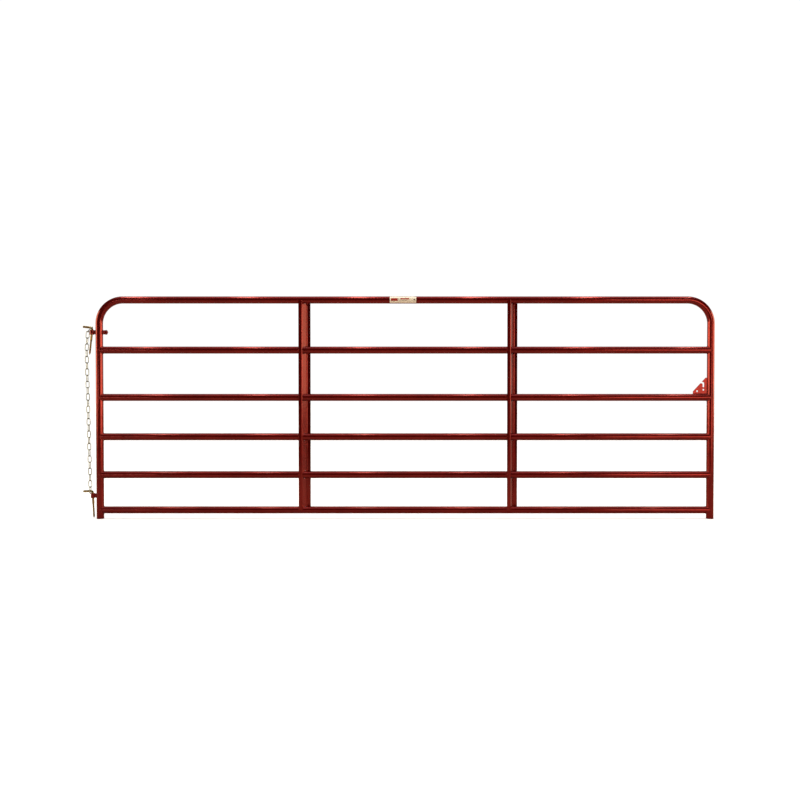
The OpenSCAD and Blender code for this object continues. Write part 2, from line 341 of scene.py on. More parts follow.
def makeYellowZinc():
    v = yellowPlate
    material, shader = newMaterial("yellowZincPlate")
    place = objectPlace(material)
    film = noiseOf(material, place, v["filmScale"], 3.0, 0.5, 0.8)
    stops = [(0.25, v["olive"]), (0.42, v["gold"]), (0.58, v["pale"]), (0.74, v["rose"])]
    colour = ramp(material, film, stops)
    # near-black spots at random: partly stains on the plating, partly a painted dark reflection
    spots = noiseOf(material, place, v["spotScale"], 3.0, 0.6)
    colour = mixed(material, scaled(material, spots, 0.60, 0.72, 0.0, 0.7), colour, v["stainAndPaintedReflection"])
    link(material, colour, shader.inputs["Base Color"])
    shader.inputs["Metallic"].default_value = 1.0
    rub = noiseOf(material, place, v["rubScale"], 4.0, 0.6)
    rough = scaled(material, rub, 0.3, 0.7, v["roughLow"], v["roughHigh"])
    link(material, rough, shader.inputs["Roughness"])
    grain = noiseOf(material, place, v["grainScale"], 2.0, 0.6)
    draw = noiseOf(material, place, v["drawScale"], 3.0, 0.5)
    bumped(material, shader, [(draw, 0.15, 0.0004), (grain, 0.12, 0.0001)])
    return material


zincPlate = {
    "body": (0.31, 0.32, 0.25), "pale": (0.47, 0.48, 0.40), "warm": (0.29, 0.27, 0.17),
    "dull": (0.10, 0.10, 0.075), "roughLow": 0.22, "roughHigh": 0.42,
    "tintScale": 34.0, "spotScale": 520.0, "rubScale": 240.0, "grainScale": 1700.0,
}


def makeChainZinc():
    v = zincPlate
    material, shader = newMaterial("chainZinc")
    place = objectPlace(material)
    tint = noiseOf(material, place, v["tintScale"], 3.0, 0.5, 0.5)
    colour = ramp(material, tint, [(0.28, v["warm"]), (0.48, v["body"]), (0.70, v["pale"])])
    spots = noiseOf(material, place, v["spotScale"], 3.0, 0.6)
    colour = mixed(material, scaled(material, spots, 0.58, 0.70, 0.0, 0.65), colour, v["dull"])
    link(material, colour, shader.inputs["Base Color"])
    shader.inputs["Metallic"].default_value = 1.0
    rub = noiseOf(material, place, v["rubScale"], 4.0, 0.6)
    rough = scaled(material, rub, 0.3, 0.7, v["roughLow"], v["roughHigh"])
    link(material, rough, shader.inputs["Roughness"])
    grain = noiseOf(material, place, v["grainScale"], 2.0, 0.6)
    bumped(material, shader, [(grain, 0.18, 0.0001)])
    return material


redPaint = makeRedPaint()
yellowZinc = makeYellowZinc()
chainZinc = makeChainZinc()
print("finishes ready")


def buildFrame():
    v = frameTube
    bend = v["cornerRadius"]
    bendZ = topZ - bend
    quarter = np.linspace(0, math.pi / 2, 49)
    path = [(leftX, 0, z) for z in np.linspace(frameLow.z, bendZ, 12)[:-1]]
    path += [(leftX + bend - bend * math.cos(a), 0, bendZ + bend * math.sin(a)) for a in quarter]
    path += [(x, 0, topZ) for x in np.linspace(leftX + bend, rightX - bend, 26)[1:-1]]
    path += [(rightX - bend + bend * math.sin(a), 0, bendZ + bend * math.cos(a)) for a in quarter]
    path += [(rightX, 0, z) for z in np.linspace(bendZ, frameLow.z, 12)[1:]]
    ease = v["footEase"]
    outer = flatSweep(path, tubeR, v["sides"])
    inner = flatSweep(path, tubeR - v["wall"], v["sides"])
    # the sawn feet have a slightly eased rim
    firstLip = flatSweep(path[:2], tubeR - ease, v["sides"])[0]
    lastLip = flatSweep(path[-2:], tubeR - ease, v["sides"])[1]
    for k in (0, -1):
        outer[k][:, 2] += ease
    outer = [firstLip, *outer, lastLip]
    inner = [inner[0].copy(), *inner, inner[-1].copy()]
    for k in (1, -2):
        inner[k][:, 2] += ease
    verts, faces = skin(outer + inner[::-1], loop=True)
    addPiece("frameTube", verts, faces, redPaint, "gate", ["end_frame"])


def buildRails():
    v = railTube
    c, s = circle(v["sides"])
    for name, z in zip(railNames, railZ):
        shells = []
        for r in (railR, railR - v["wall"]):
            y = r * c
            reach = np.sqrt(tubeR ** 2 - y ** 2)
            rings = []
            for share in np.linspace(0, 1, 26):
                x = (leftX + reach) * (1 - share) + (rightX - reach) * share
                rings.append(np.stack([x, y, z + r * s], 1))
            shells.append(rings)
        verts, faces = skin(shells[0] + shells[1][::-1], loop=True)
        addPiece(name.replace("_", ""), verts, faces, redPaint, "gate", [name])


def buildRailWelds():
    parts = []
    for i, z in enumerate(railZ):
        for postX, side in ((leftX, 1), (rightX, -1)):
            points, normals = saddle(postX, tubeR, railR, z, side)
            parts.append(weldAlong(points, normals, seed=i * 1.3 + side))
    verts, faces = joined(parts)
    addPiece("railWelds", verts, faces, redPaint, "gate", sharp=60)


buildFrame()
buildRails()
buildRailWelds()
print("frame, rails and their welds built")


brace = {
    "sheet": 0.002, "insideBend": 0.0050, "clearance": 0.00035, "webRun": 0.026, "edge": 0.0003,
    "tack": 0.0022, "tackHalf": 0.009, "tackTuck": 0.0002, "tackGap": 0.001,
    "holeSides": 64, "cutReach": 0.05,
}


def braceSection():
    # centreline of the Z, with its two bends, then both faces of the sheet
    t = brace["sheet"]
    low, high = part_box("brace_left")
    half = (high.x - low.x) / 2
    mid = (high.y - low.y) / 2 - t / 2
    turn = webTurn()
    r = brace["insideBend"] + t / 2
    back = r * math.tan(turn / 2)
    corner = Vector((-brace["webRun"] / 2, -mid))
    web = Vector((math.cos(turn), math.sin(turn)))
    first = [(-half, -mid), (corner.x - back, -mid)]
    arc = []
    for a in np.linspace(0, turn, 9)[1:]:
        arc.append((corner.x - back + r * math.sin(a), -mid + r - r * math.cos(a)))
    line = np.array(first + arc)
    line = np.vstack([line, -line[::-1]])
    d = np.gradient(line, axis=0)
    # straight runs need their own direction, not an average
    d[0] = (1, 0)
    d[1] = (1, 0)
    d[len(first) + len(arc) - 1] = web
    d[len(first) + len(arc)] = web
    d[-1] = (1, 0)
    d[-2] = (1, 0)
    d /= np.linalg.norm(d, axis=1)[:, None]
    n = np.stack([-d[:, 1], d[:, 0]], 1) * t / 2
    return np.vstack([line + n, (line - n)[::-1]])


def webTurn():
    low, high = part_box("brace_left")
    return math.atan2(high.y - low.y - brace["sheet"], brace["webRun"])


def keepFlat(piece, turn):
    # the flanges and the web stay flat, and only the two bends and the small edges are smooth
    piece.data.shade_smooth()
    piece.data.set_sharp_from_angle(angle=math.radians(35))
    web = Vector((-math.sin(turn), math.cos(turn), 0))
    for face in piece.data.polygons:
        face.use_smooth = max(abs(face.normal.y), abs(face.normal.dot(web)), abs(face.normal.z)) < 0.9999


def buildBraces():
    outline = braceSection()
    for name in ("brace_left", "brace_right"):
        low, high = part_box(name)
        cx = (low.x + high.x) / 2
        rings = [np.column_stack([outline[:, 0] + cx, outline[:, 1], np.full(len(outline), z)])
                 for z in np.linspace(low.z, high.z, 14)]
        verts, faces = skin(rings)
        ownName = name.replace("_l", "L").replace("_r", "R")
        piece = addPiece(ownName, verts, faces, redPaint, "gate", [name])
        bars = [(z, railR + brace["clearance"]) for z in railZ] + [(topZ, tubeR + brace["clearance"])]
        sides, reach = brace["holeSides"], brace["cutReach"]
        c, s = circle(sides)
        cutters = []
        for z, r in bars:
            ends = [np.stack([np.full(sides, cx + e), r * c, z + r * s], 1) for e in (-reach, reach)]
            cutters.append(skin(ends))
        cutter = plainShape("cutter", *joined(cutters))
        mod = piece.modifiers.new("holes", "BOOLEAN")
        mod.object, mod.operation, mod.solver = cutter, "DIFFERENCE", "EXACT"
        mod = piece.modifiers.new("edges", "BEVEL")
        mod.width, mod.segments = brace["edge"], 2
        mod.limit_method, mod.angle_limit = "ANGLE", math.radians(60)
        applyModifiers(piece)
        bpy.data.objects.remove(cutter)
        keepFlat(piece, webTurn())


def applyModifiers(piece):
    graph = bpy.context.evaluated_depsgraph_get()
    made = bpy.data.meshes.new_from_object(piece.evaluated_get(graph))
    old = piece.data
    piece.modifiers.clear()
    piece.data = made
    made.name = old.name
    bpy.data.meshes.remove(old)


def buildBraceTacks():
    parts = []
    for k, name in enumerate(("brace_left", "brace_right")):
        leftEdge, rightEdge = (corner.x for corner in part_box(name))
        bars = [(z, railR) for z in railZ] + [(topZ, tubeR)]
        for i, (z, r) in enumerate(bars):
            for x, side in ((leftEdge, -1), (rightEdge, 1)):
                # the sheet starts at the lowest bar's middle and ends at the top tube's
                low, high = -brace["tackHalf"], brace["tackHalf"]
                up = np.linspace(low if i else brace["tackGap"], high if i < 5 else -brace["tackGap"], 9)
                y = side * (np.sqrt(r ** 2 - up ** 2) - brace["tackTuck"])
                points = np.stack([np.full(9, x), y, z + up], 1)
                normals = np.stack([np.full(9, float(side)), np.full(9, float(side)), 0 * up], 1)
                parts.append(weldAlong(points, normals, brace["tack"], False, seed=k + 2.1 * i + side))
    verts, faces = joined(parts)
    addPiece("braceTacks", verts, faces, redPaint, "gate", sharp=60)


buildBraces()
buildBraceTacks()
print("braces built")


latch = {
    "nose": 0.014, "topEdge": 0.008, "height": 0.092, "length": 0.080, "thick": 0.005, "slotWidth": 0.0095,
    "slotInset": 0.0203, "slotLow": 0.042, "slotHigh": 0.061, "entryAngle": 18.0, "hole": 0.005,
    "holes": ((0.0203, 0.023), (0.056, 0.015)), "edge": 0.0005, "weld": 0.0024, "bite": 0.0006,
    "knee": 0.0025, "weldShort": 0.002,
}


def latchOutline():
    # u runs left from the stile, v up from the rail; the slot opens through the sloping edge
    v = latch
    r = v["slotWidth"] / 2
    slope = Vector((v["topEdge"] - v["length"], v["height"] - v["nose"]))
    start = Vector((v["length"], v["nose"]))
    a = math.radians(v["entryAngle"])
    along = Vector((math.cos(a), math.sin(a)))     # along the slot's entry, outwards
    across = Vector((-math.sin(a), math.cos(a)))
    elbow = Vector((v["slotInset"], v["slotHigh"]))

    def meet(p, d):
        # where p + t d crosses the sloping edge
        m = np.array([[d.x, -slope.x], [d.y, -slope.y]])
        t = np.linalg.solve(m, np.array([start.x - p.x, start.y - p.y]))
        return p + d * float(t[0])

    lowerLip = meet(elbow - across * r, along)
    upperLip = meet(elbow + across * r, along)
    inside = Vector((v["slotInset"] + r, 0))
    # the inner corner under the entry, where its lower side meets the upright's outer side
    d = (inside.x - (elbow - across * r).x) / along.x
    knee = (elbow - across * r) + along * d
    bite = v["bite"]     # how far the two welded edges run into their tubes
    pts = [(-bite, -bite), (v["length"], -bite), (v["length"], v["nose"])]
    pts.append(tuple(lowerLip))
    for q in np.linspace(0, 1, 6):
        p0 = knee + along * v["knee"]
        p2 = knee - Vector((0, v["knee"]))
        pts.append(tuple(p0 * (1 - q) ** 2 + knee * 2 * q * (1 - q) + p2 * q * q))
    for t in np.linspace(0, math.pi, 15):
        pts.append((v["slotInset"] + r * math.cos(t), v["slotLow"] - r * math.sin(t)))
    for t in np.linspace(math.pi, math.pi / 2 + a, 12):
        pts.append((elbow.x + r * math.cos(t), elbow.y + r * math.sin(t)))
    pts.append(tuple(upperLip))
    pts += [(v["topEdge"], v["height"]), (-bite, v["height"])]
    return pts


def buildLatchPlate():
    v = latch
    faceX = rightX - tubeR
    seatZ = railZ[3] + railR
    curve = bpy.data.curves.new("latchPlateOutline", "CURVE")
    curve.dimensions, curve.fill_mode = "2D", "BOTH"
    loops = [latchOutline()]
    for u, w in v["holes"]:
        c, s = circle(40)
        loops.append(list(zip(u + v["hole"] * c, w + v["hole"] * s)))
    for loop in loops:
        spline = curve.splines.new("POLY")
        spline.points.add(len(loop) - 1)
        for p, (u, w) in zip(spline.points, loop):
            p.co = (-u, w, 0, 1)
        spline.use_cyclic_u = True
    e = v["edge"]
    curve.extrude = v["thick"] / 2 - e
    curve.bevel_depth, curve.bevel_resolution = e, 2
    curve.offset = -e
    shape = bpy.data.objects.new("latchPlateShape", curve)
    scene.collection.objects.link(shape)
    graph = bpy.context.evaluated_depsgraph_get()
    mesh = bpy.data.meshes.new_from_object(shape.evaluated_get(graph))
    bpy.data.objects.remove(shape)
    bm = bmesh.new()
    bm.from_mesh(mesh)
    bmesh.ops.remove_doubles(bm, verts=bm.verts, dist=1e-6)
    bmesh.ops.recalc_face_normals(bm, faces=bm.faces)
    for p in bm.verts:
        p.co = (faceX + p.co.x, -p.co.z, seatZ + p.co.y)
    bm.to_mesh(mesh)
    bm.free()
    piece = bpy.data.objects.new("latchPlate", mesh)
    scene.collection.objects.link(piece)
    dress(piece, redPaint, "gate", ["latch_plate"], 35)
    for face in piece.data.polygons:
        face.use_smooth = abs(face.normal.y) < 0.999
    parts = []
    for side in (-1, 1):
        y = side * v["thick"] / 2
        low = np.linspace(v["length"], 0.0, 18)[:-1]
        high = np.linspace(0.0, v["height"] - v["weldShort"], 18)
        points = [(faceX - u, y, railZ[3] + math.sqrt(railR ** 2 - y * y)) for u in low]
        points += [(rightX - math.sqrt(tubeR ** 2 - y * y), y, seatZ + w) for w in high]
        normals = [(0, side, 1)] * len(low) + [(-1, side, 0)] * len(high)
        parts.append(weldAlong(points, normals, v["weld"], False, seed=3 + side))
    verts, faces = joined(parts)
    addPiece("latchPlateWelds", verts, faces, redPaint, "gate", sharp=60)


buildLatchPlate()
print("latch plate built")


label = {
    "radiusGap": 0.00008, "thick": 0.00022, "wrap": 116.0, "cornerRadius": 0.004, "rows": 41, "columns": 31,
    "paper": ((0.94, 0.91, 0.84), (0.97, 0.96, 0.92)), "rough": 0.42,
    "fibreScale": 300.0, "wrinkleScale": 120.0,
    "red": (0.42, 0.03, 0.02), "grey": (0.42, 0.40, 0.38), "dark": (0.05, 0.04, 0.04),
    # each block of print: left, right, bottom and top as shares of the label, and its ink
    "print": (((0.05, 0.30, 0.30, 0.72), "red"), ((0.34, 0.36, 0.22, 0.80), "grey"),
              ((0.40, 0.74, 0.52, 0.74), "red"), ((0.40, 0.66, 0.30, 0.38), "grey"),
              ((0.90, 0.95, 0.40, 0.62), "dark")),
}


def makeLabelFilm(low, high):
    v = label
    material, shader = newMaterial("labelFilm")
    place = objectPlace(material)
    axes = node(material, "ShaderNodeSeparateXYZ")
    link(material, place, axes.inputs[0])
    along = scaled(material, axes.outputs["X"], low.x, high.x, 0.0, 1.0)
    upward = scaled(material, axes.outputs["Z"], low.z, high.z, 0.0, 1.0)

    def combine(kind, a, b):
        m = node(material, "ShaderNodeMath", operation=kind)
        for socket, value in zip(m.inputs, (a, b)):
            if isinstance(value, bpy.types.NodeSocket):
                link(material, value, socket)
            else:
                socket.default_value = value
        return m.outputs[0]

    def inside(x1, x2, z1, z2):
        # 1 in a box of the label, 0 outside
        parts = [combine("GREATER_THAN", along, x1), combine("LESS_THAN", along, x2),
                 combine("GREATER_THAN", upward, z1), combine("LESS_THAN", upward, z2)]
        got = parts[0]
        for p in parts[1:]:
            got = combine("MULTIPLY", got, p)
        return got

    fibre = noiseOf(material, place, v["fibreScale"], 3.0, 0.6)
    paper = ramp(material, fibre, [(0.3, v["paper"][0]), (0.7, v["paper"][1])])
    for box, ink in v["print"]:
        paper = mixed(material, inside(*box), paper, v[ink])
    link(material, paper, shader.inputs["Base Color"])
    shader.inputs["Roughness"].default_value = v["rough"]
    wrinkle = noiseOf(material, place, v["wrinkleScale"], 2.0, 0.5)
    bumped(material, shader, [(wrinkle, 0.08, 0.0004)])
    return material


def buildLabel():
    v = label
    low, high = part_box("label")
    film = makeLabelFilm(low, high)
    half = math.radians(v["wrap"] / 2)
    r1 = tubeR + v["radiusGap"]
    r2 = r1 + v["thick"]
    tall = 2 * half * r1
    # a rounded rectangle wrapped on the front of the tube
    cr = v["cornerRadius"]
    rows, cols = v["rows"], v["columns"]
    vs, fs = [], []
    for r in (r2, r1):
        for w in np.linspace(0, 1, rows):
            y = w * tall
            inset = 0.0
            for edge in (y, tall - y):
                if edge < cr:
                    inset = cr - math.sqrt(max(cr ** 2 - (cr - edge) ** 2, 0))
            a = (w - 0.5) * 2 * half
            for x in np.linspace(low.x + inset, high.x - inset, cols):
                vs.append((x, -r * math.cos(a), topZ + r * math.sin(a)))
    base = rows * cols
    for i in range(rows - 1):
        for j in range(cols - 1):
            q = (i * cols + j, i * cols + j + 1, (i + 1) * cols + j + 1, (i + 1) * cols + j)
            fs.append(q)
            fs.append(tuple(base + k for k in q[::-1]))
    rim = [j for j in range(cols)] + [i * cols + cols - 1 for i in range(1, rows)]
    rim += [(rows - 1) * cols + j for j in range(cols - 2, -1, -1)]
    rim += [i * cols for i in range(rows - 2, 0, -1)]
    for a, b in zip(rim, rim[1:] + rim[:1]):
        fs.append((a, b, base + b, base + a))
    addPiece("label", vs, fs, film, "gate", ["label"], sharp=50)


buildLabel()
print("label built")


eye = {
    "outside": 0.023, "bore": 0.0164, "round": 0.0009, "armThick": 0.010, "armHeight": 0.024,
    "armEdge": 0.0006, "weld": 0.0021, "boltWeld": 0.0012, "sink": 0.0002,
}
bolt = {
    "diameter": 0.0159, "pitch": 0.00231, "depth": 0.0011, "endRun": 0.0016, "endDrop": 0.0018,
    "endFace": 0.0062, "start": 0.0006, "sides": 48, "perPitch": 12,
}
nut = {
    "flats": 0.0238, "bore": 0.0164, "faceCut": 0.0003, "lead": 0.0007, "sides": 96, "chamferAngle": 30.0,
    "chamferSteps": (0, 0.0001, 0.0003, 0.0006, 0.0010, 0.0014, 0.0018),
}


def lathe(profile, at, sides=64):
    # profile is a closed loop of (radius, height)
    c, s = circle(sides)
    rings = [np.stack([r * c, r * s, np.full(sides, h)], 1) + np.array(at) for r, h in profile]
    return skin(rings, loop=True)


def roundedRing(r1, r2, half, ease):
    # section of a short sleeve with rounded rims
    pts = []
    for cr, ch, a0 in ((r2 - ease, half - ease, 0), (r1 + ease, half - ease, 90),
                       (r1 + ease, ease - half, 180), (r2 - ease, ease - half, 270)):
        for a in np.radians(np.linspace(a0, a0 + 90, 6)):
            pts.append((cr + ease * math.cos(a), ch + ease * math.sin(a)))
    return pts


def buildEyes():
    v = eye
    for cadNode, name in (("upper_eye", "upperEye"), ("lower_eye", "lowerEye")):
        low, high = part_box(cadNode)
        at = (hingeX, 0, (low.z + high.z) / 2)
        profile = roundedRing(v["bore"] / 2, v["outside"] / 2, (high.z - low.z) / 2, v["round"])
        verts, faces = lathe(profile, at)
        addPiece(name, verts, faces, redPaint, "gate", [cadNode], 50)


def radialRod(xs, radiusAt, zAt, sides):
    # a rod along X whose radius changes along and around it; radiusAt(x, angles) gives the radii
    c, s = circle(sides)
    a = np.arange(sides) * 2 * math.pi / sides
    rings = []
    for x in xs:
        r = radiusAt(x, a)
        rings.append(np.stack([np.full(sides, x), r * c, zAt + r * s], 1))
    return rings


def threadShape(turns):
    # 1 on the crest and 0 at the root of a V thread with small flats
    f = turns % 1.0
    return np.clip(np.minimum(f, 1 - f) * 2.6 - 0.12, 0, 1)


def buildHingeBolt():
    v = bolt
    low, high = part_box("hinge_bolt")
    r = v["diameter"] / 2
    c, s = circle(v["sides"])
    endX = high.x
    xs = np.arange(hingeX + eye["outside"] / 2 + v["start"], endX, v["pitch"] / v["perPitch"])

    def radiusAt(x, a):
        crest = threadShape((x - low.x) / v["pitch"] + a / (2 * math.pi))
        taper = np.clip((endX - x) / v["endRun"], 0, 1)
        return np.minimum(r - v["depth"] * (1 - crest), r - v["endDrop"] * (1 - taper))

    rings = radialRod(xs, radiusAt, boltZ, v["sides"])
    # the inner end is coped onto the eye
    y = r * c
    cope = hingeX + np.sqrt((eye["outside"] / 2) ** 2 - y ** 2) - eye["sink"]
    rings.insert(0, np.stack([cope, y, boltZ + r * s], 1))
    endR = v["endFace"]
    rings.append(np.stack([np.full(v["sides"], endX), endR * c, boltZ + endR * s], 1))
    verts, faces = skin(rings)
    addPiece("hingeBolt", verts, faces, redPaint, "gate", ["hinge_bolt"], 50)


def buildNut(cadNode, name, turn):
    v = nut
    low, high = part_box(cadNode)
    x1, x2 = low.x, high.x
    sides = v["sides"]
    a = np.arange(sides) * 2 * math.pi / sides
    half = v["flats"] / 2
    local = (a - math.radians(turn)) % (math.pi / 3) - math.pi / 6
    hexR = half / np.cos(local)
    face = half - v["faceCut"]     # where the chamfer starts on each end
    rings = []
    c, s = circle(sides)

    def ring(x, r):
        return np.stack([np.full(sides, x), r * c, boltZ + r * s], 1)

    steps = v["chamferSteps"]
    tilt = 1 / math.tan(math.radians(v["chamferAngle"]))
    for d in steps:
        rings.append(ring(x1 + d, np.minimum(hexR, face + d * tilt)))
    rings.append(ring((x1 + x2) / 2, hexR))
    for d in steps[::-1]:
        rings.append(ring(x2 - d, np.minimum(hexR, face + d * tilt)))
    bore, lead = v["bore"] / 2, v["lead"]
    for x, r in ((x2, bore + lead), (x2 - lead, bore), (x1 + lead, bore), (x1, bore + lead)):
        rings.append(ring(x, np.full(sides, r)))
    verts, faces = skin(rings, loop=True)
    addPiece(name, verts, faces, redPaint, cadNode, [cadNode], 28)


def buildLowerArm():
    v = eye
    low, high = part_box("lower_eye_arm")
    z = (low.z + high.z) / 2
    er = v["outside"] / 2
    hy, hz, ease = v["armThick"] / 2, v["armHeight"] / 2, v["armEdge"]
    loop = []
    for cy, cz, a0 in ((hy, hz, 0), (-hy, hz, 90), (-hy, -hz, 180), (hy, -hz, 270)):
        sy, sz = math.copysign(1, cy), math.copysign(1, cz)
        for a in np.radians(np.linspace(a0, a0 + 90, 5)):
            loop.append((cy - sy * ease + ease * math.cos(a), cz - sz * ease + ease * math.sin(a)))
    loop = np.array(loop)
    dense = []
    for p, q in zip(loop, np.roll(loop, -1, 0)):
        for t in np.linspace(0, 1, 4)[:-1]:
            dense.append(p * (1 - t) + q * t)
    loop = np.array(dense)
    y, up = loop[:, 0], loop[:, 1]
    startX = hingeX + np.sqrt(er ** 2 - y ** 2) - v["sink"]
    endX = leftX - np.sqrt(tubeR ** 2 - y ** 2) + v["sink"]
    rings = [np.stack([startX * (1 - t) + endX * t, y, z + up], 1) for t in np.linspace(0, 1, 5)]
    verts, faces = skin(rings)
    addPiece("lowerEyeArm", verts, faces, redPaint, "gate", ["lower_eye_arm"], 40)
    out = np.stack([y / hy, up / hz], 1)
    parts = []
    for x, push, radius, seed in ((startX, 0.7, v["weld"], 1.0), (endX, -0.7, v["weld"], 2.0)):
        points = np.stack([x, y, z + up], 1)
        normals = np.stack([np.full(len(y), push), out[:, 0], out[:, 1]], 1)
        parts.append(weldAlong(points, normals, radius, True, seed))
    c, s = circle(60)
    r = bolt["diameter"] / 2
    yb = r * c
    xb = hingeX + np.sqrt(er ** 2 - yb ** 2)
    points = np.stack([xb, yb, boltZ + r * s], 1)
    normals = np.stack([np.full(60, 0.8), c, s], 1)
    parts.append(weldAlong(points, normals, v["boltWeld"], True, 0.5))
    verts, faces = joined(parts)
    addPiece("eyeWelds", verts, faces, redPaint, "gate", sharp=60)


buildEyes()
buildHingeBolt()
buildNut("outer_nut", "outerNut", 0)
buildNut("inner_nut", "innerNut", 0)
buildNut("jam_nut", "jamNut", 30)
buildLowerArm()
print("eyes, bolt and nuts built")


hook = {
    "rod": 0.0127, "bend": 0.012, "rise": 0.0263, "reach": 0.0525, "length": 0.155, "thread": 0.068,
    "tip": 0.014, "tipCrest": 0.0008, "tipRoot": 0.0006, "root": 0.0094, "pitch": 0.0042, "perPitch": 14,
    "chamfer": 0.0008, "sides": 48,
    # where the thread fades out above its top, and the small step up to the full rod
    "runOut": 0.006, "fadePast": 0.002, "fadeEnd": 0.003, "fadeSize": 0.85,
    "step": ((0.0036, 0.985), (0.0042, 1.0)),
}
hooks = {
    "upper_hook": {"name": "upperHook", "eye": "upper_eye", "tilt": 6.0},
    "lower_hook": {"name": "lowerHook", "eye": "lower_eye", "tilt": -2.6},
}


def lagThread(turns):
    # thin sharp ridges with wide flat roots between them
    f = np.abs((turns % 1.0) - 0.5) * 2
    return np.clip(1 - f / 0.36, 0, 1)


def buildHook(cadNode):
    v, h = hook, hooks[cadNode]
    r = v["rod"] / 2
    root = v["root"] / 2
    sides = v["sides"]
    a = np.arange(sides) * 2 * math.pi / sides
    low = v["rise"] - v["length"]
    coneTop = low + v["tip"]
    threadTop = coneTop + v["thread"]
    rings = []
    c, s = np.cos(a), np.sin(a)
    for z in np.arange(low, threadTop + v["fadeEnd"], v["pitch"] / v["perPitch"]):
        crest = lagThread(z / v["pitch"] - a / (2 * math.pi))
        outer, inner = r, root
        if z < coneTop:
            share = (z - low) / v["tip"]
            outer = v["tipCrest"] + (r - v["tipCrest"]) * share ** 0.8
            inner = min(root, v["tipRoot"] + (root - v["tipRoot"]) * (share / 0.8))
        fade = np.clip((threadTop + v["fadePast"] - z) / v["runOut"], 0, 1)
        rr = inner + (outer - inner) * crest
        rr = rr * fade + (1 - fade) * (root + (r - root) * v["fadeSize"])
        rings.append(np.stack([rr * c, rr * s, np.full(sides, z)], 1))
    for above, share in v["step"]:
        rings.append(np.stack([r * share * c, r * share * s, np.full(sides, threadTop + above)], 1))
    bendZ = v["rise"] - v["bend"]
    for z in np.linspace(threadTop + v["runOut"], bendZ, 8):
        rings.append(np.stack([r * c, r * s, np.full(sides, z)], 1))
    for t in np.linspace(0, math.pi / 2, 25)[1:]:
        # the rod turns from upright to level, towards -X
        d = -v["bend"] + (v["bend"] + r * c) * math.cos(t)
        z = bendZ + (v["bend"] + r * c) * math.sin(t)
        rings.append(np.stack([d, r * s, z], 1))
    end = -v["reach"]
    leg = [(x, r) for x in np.linspace(-v["bend"], end + v["chamfer"], 6)[1:]]
    for x, rr in leg + [(end, r - v["chamfer"])]:
        rings.append(np.stack([np.full(sides, x), rr * s, v["rise"] + rr * c], 1))
    eyeLow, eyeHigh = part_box(h["eye"])
    at = np.array([hingeX, 0, (eyeLow.z + eyeHigh.z) / 2])
    verts, faces = skin(rings)
    verts = verts @ leanBy(math.radians(h["tilt"])).T + at
    addPiece(h["name"], verts, faces, yellowZinc, "hooks", [cadNode], 42)


for hookNode in hooks:
    buildHook(hookNode)
print("hooks built")


chain = {
    "wire": 0.004, "width": 0.022, "length": 0.0438, "seam": 0.00022, "seamHalf": 0.0011,
    "seamGroove": 0.0004, "grooveDepth": 0.55, "sides": 20,
}


def linkLoop():
    # one link standing upright and face on, with the swelling of its butt weld on one side
    v = chain
    crown = v["width"] / 2 - v["wire"] / 2
    side = v["length"] / 2 - v["wire"] / 2 - crown
    turns = np.linspace(0, math.pi, 33)[:-1]
    path = [(crown, 0, z) for z in np.linspace(-side, side, 25)[:-1]]
    path += [(crown * math.cos(t), 0, side + crown * math.sin(t)) for t in turns]
    path += [(-crown, 0, z) for z in np.linspace(side, -side, 25)[:-1]]
    path += [(-crown * math.cos(t), 0, -side - crown * math.sin(t)) for t in turns]
    p = np.array(path)
    onSeam = (p[:, 0] > crown * 0.99) & (np.abs(p[:, 2]) < side)
    hump = np.exp(-(p[:, 2] / v["seamHalf"]) ** 2)
    groove = np.exp(-(p[:, 2] / v["seamGroove"]) ** 2)
    swell = np.where(onSeam, hump * (1 - v["grooveDepth"] * groove), 0)
    radii = v["wire"] / 2 + v["seam"] * swell
    return skin(flatSweep(p, radii, v["sides"], closed=True), loop=True)


def buildChain():
    loop, faces = linkLoop()
    links = sorted(n for n in frame["nodes"] if n.startswith("link_"))
    for k, name in enumerate(links, 1):
        low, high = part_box(name)
        centre = np.array((low + high) / 2)
        here = joints[f"{name}_swing"]["pos_m"]
        lean = math.atan2(here[0] - centre[0], here[2] - centre[2])
        verts = loop.copy()
        # every other link is side on, and every other pair has its butt weld on the other side
        if k % 2:
            verts = verts @ np.array([[0, 1, 0], [-1, 0, 0], [0, 0, 1]], float)
        if k % 4 > 1:
            verts = verts * np.array([-1, -1, 1])
        verts = verts @ leanBy(lean).T + centre
        addPiece(f"chainLink{k:02d}", verts, faces, chainZinc, name, [name], 60)


buildChain()
print("chain built")


studio = {
    "floor": 60.0, "frontEdge": -3.2, "floorColour": (0.88, 0.91, 0.96), "floorGlow": 0.50,
    "floorInPaint": (0.62, 0.50, 0.42),
}


